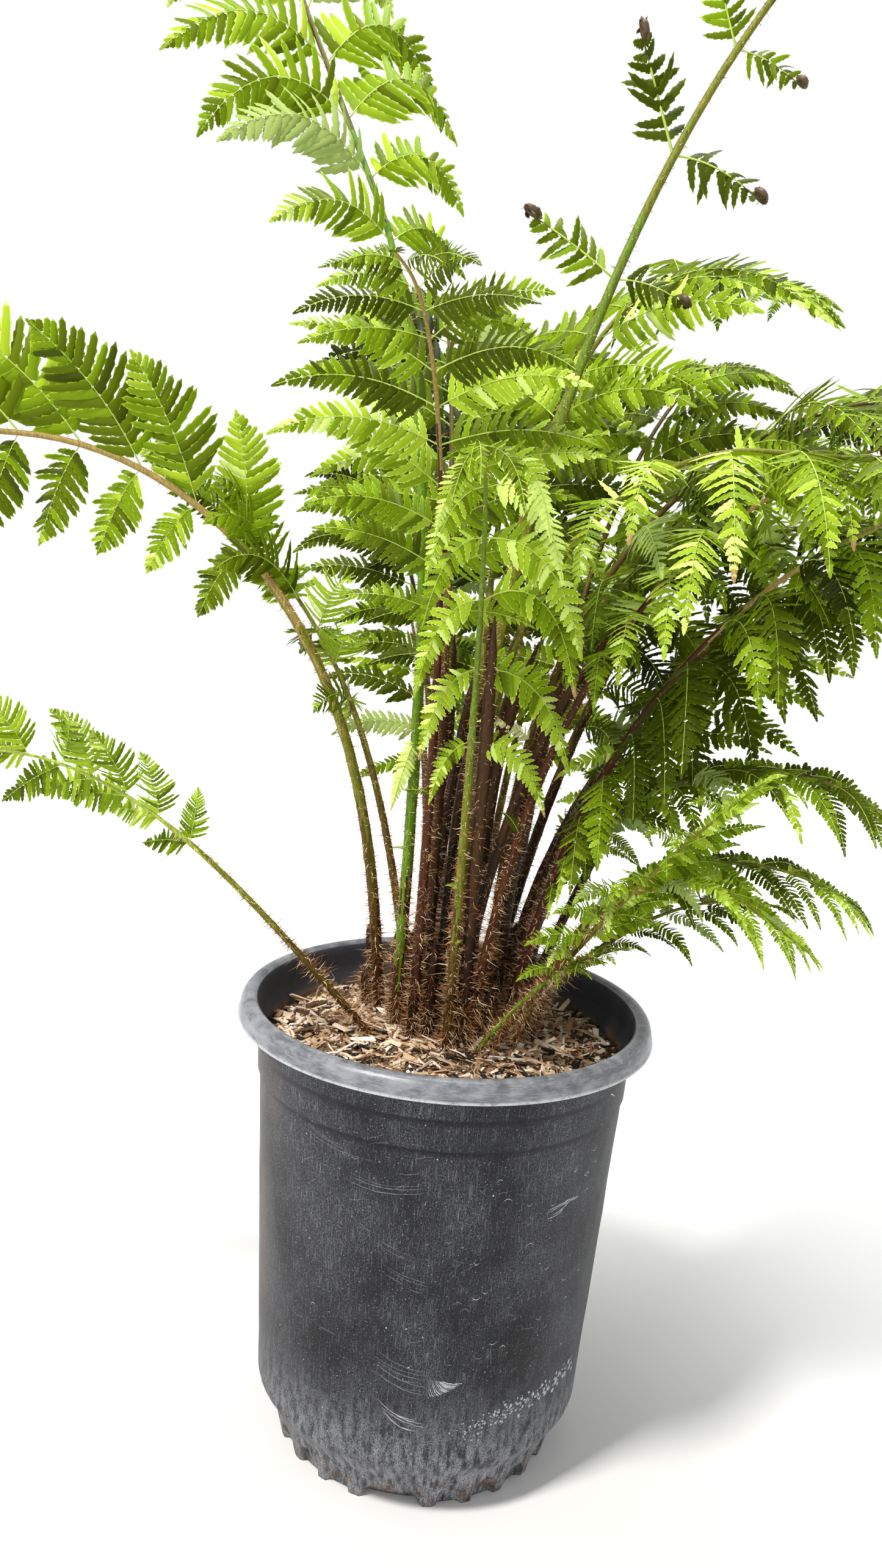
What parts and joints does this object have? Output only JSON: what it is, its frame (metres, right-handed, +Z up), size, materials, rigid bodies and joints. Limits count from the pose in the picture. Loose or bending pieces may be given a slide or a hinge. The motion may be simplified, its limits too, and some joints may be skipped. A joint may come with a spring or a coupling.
{
  "type": "potted tree fern",
  "caption": "Potted young tree fern: arching, finely cut fronds rise from a low crown stem in a round nursery pot filled with bark soil.",
  "frame": {"origin": "middle of the pot's flat underside, on the ground", "axes": "+Z up, -Y towards the side that the picture shows, +X to the right there"},
  "size_m": [1.1186, 0.7037, 1.185],
  "materials": {
    "pot_plastic": "worn satin, dusty, with a rubbed grey rim",
    "potting_soil": "loose bark chips, dry and rough",
    "crown_fibre": "matted brown fibre",
    "stalk": "green to red-brown, satin under curly hairs",
    "leaflets": "thin satin leaf, paler underneath"
  },
  "bodies": {
    "root": {"pot": "pot_plastic", "soil": "potting_soil", "crown_stem": "crown_fibre", "low_left_stalk": "stalk", "left_arch_stalk": "stalk", "left_back_stalk": "stalk", "top_left_stalk": "stalk", "central_stalk": "stalk", "unfurling_stalk": "stalk", "right_upper_stalk": "stalk", "right_light_stalk": "stalk", "right_fan_stalk": "stalk", "right_brown_stalk": "stalk", "right_olive_stalk": "stalk", "right_hairy_stalk": "stalk", "right_mid_stalk": "stalk", "right_deep_stalk": "stalk", "right_low_stalk": "stalk", "low_near_stalk": "stalk", "low_far_stalk": "stalk", "pale_near_stalk": "stalk", "thin_far_stalk": "stalk", "front_mid_stalk": "stalk", "little_front_stalk": "stalk", "back_right_stalk": "stalk", "back_mid_stalk": "stalk", "back_left_stalk": "stalk", "back_dark_stalk": "stalk", "back_low_right_stalk": "stalk", "back_low_mid_stalk": "stalk", "back_low_left_stalk": "stalk", "low_left_blade": "leaflets", "left_arch_blade": "leaflets", "left_back_blade": "leaflets", "top_left_blade": "leaflets", "central_blade": "leaflets", "unfurling_blade": "leaflets", "right_upper_blade": "leaflets", "right_light_blade": "leaflets", "right_fan_blade": "leaflets", "right_brown_blade": "leaflets", "right_olive_blade": "leaflets", "right_hairy_blade": "leaflets", "right_mid_blade": "leaflets", "right_deep_blade": "leaflets", "right_low_blade": "leaflets", "low_near_blade": "leaflets", "low_far_blade": "leaflets", "pale_near_blade": "leaflets", "thin_far_blade": "leaflets", "front_mid_blade": "leaflets", "little_front_blade": "leaflets", "back_right_blade": "leaflets", "back_mid_blade": "leaflets", "back_left_blade": "leaflets", "back_dark_blade": "leaflets", "back_low_right_blade": "leaflets", "back_low_mid_blade": "leaflets", "back_low_left_blade": "leaflets"}
  },
  "joints": []
}
